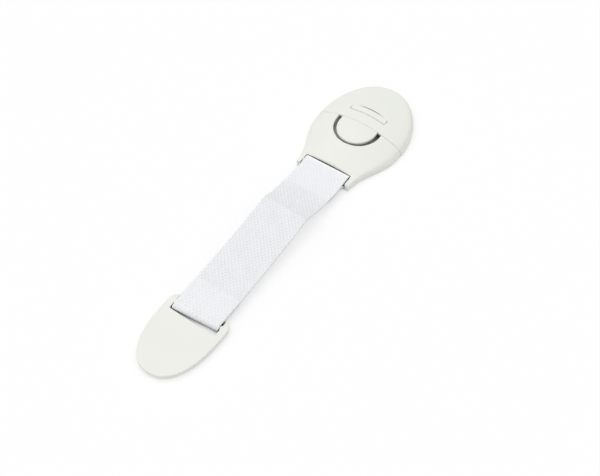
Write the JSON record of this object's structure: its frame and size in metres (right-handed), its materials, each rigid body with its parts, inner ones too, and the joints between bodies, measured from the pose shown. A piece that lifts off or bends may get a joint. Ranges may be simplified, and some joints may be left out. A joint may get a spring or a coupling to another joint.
{
  "type": "adhesive cabinet strap lock",
  "caption": "Adhesive cabinet strap lock: domed head with a push-button slide-out latch, woven strap and leaf-shaped tail plate.",
  "frame": {"origin": "on the head's stick-down face, under the middle of the seam between the hood and the latch cover", "axes": "+Y runs along the strap from the tail to the head, +X is across the strap, +Z points away from the furniture"},
  "size_m": [0.049, 0.2004, 0.0105],
  "materials": {
    "white_plastic": "satin warm white moulded plastic",
    "webbing": "plain woven cool white webbing",
    "foam": "closed-cell adhesive foam, light grey",
    "liner_paper": "smooth waxed release paper"
  },
  "bodies": {
    "head_base": {"base_plate": "white_plastic", "hood": "white_plastic", "head_foam_pad": "foam", "head_release_liner": "liner_paper"},
    "latch": {"latch_cover": "white_plastic"},
    "tongue": {"release_tongue": "white_plastic"},
    "strap_head_end": {"webbing_head_loop": "webbing", "webbing_head_foldback": "webbing"},
    "strap_head_length": {"webbing_head_span": "webbing"},
    "strap_middle_length": {"webbing_middle_span": "webbing"},
    "strap_tail_length": {"webbing_tail_span": "webbing"},
    "strap_tail_end": {"webbing_tail_loop": "webbing", "webbing_tail_foldback": "webbing"},
    "tail": {"tail_plate": "white_plastic", "tail_foam_pad": "foam", "tail_release_liner": "liner_paper"}
  },
  "joints": [
    {"name": "latch_slide", "type": "slide", "parent": "head_base", "child": "latch", "axis": [0, -1, 0], "range_m": [0, 0.023], "deforming": ["release_tongue"]},
    {"name": "button_press", "type": "hinge", "parent": "latch", "child": "tongue", "pos_m": [0, 0.02, 0.0045], "axis": [1, 0, 0], "range_deg": [0, 7.5], "stiffness_Nm_per_rad": 2},
    {"name": "strap_at_head_bar", "type": "hinge", "parent": "latch", "child": "strap_head_end", "pos_m": [0, -0.0313, 0.0032], "axis": [-1, 0, 0], "range_deg": [-60, 75]},
    {"name": "strap_fold_head", "type": "hinge", "parent": "strap_head_end", "child": "strap_head_length", "pos_m": [0, -0.0485, 0.0055], "axis": [-1, 0, 0], "range_deg": [-30, 30]},
    {"name": "strap_crease", "type": "hinge", "parent": "strap_head_length", "child": "strap_middle_length", "pos_m": [0, -0.065, 0.0088], "axis": [-1, 0, 0], "range_deg": [-30, 30]},
    {"name": "strap_fold_middle", "type": "hinge", "parent": "strap_middle_length", "child": "strap_tail_length", "pos_m": [0, -0.0905, 0.006], "axis": [-1, 0, 0], "range_deg": [-30, 30]},
    {"name": "strap_fold_tail", "type": "hinge", "parent": "strap_tail_length", "child": "strap_tail_end", "pos_m": [0, -0.116, 0.0043], "axis": [-1, 0, 0], "range_deg": [-30, 30]},
    {"name": "strap_at_tail_bar", "type": "hinge", "parent": "strap_tail_end", "child": "tail", "pos_m": [0, -0.1327, 0.0025], "axis": [-1, 0, 0], "range_deg": [-60, 60]}
  ]
}
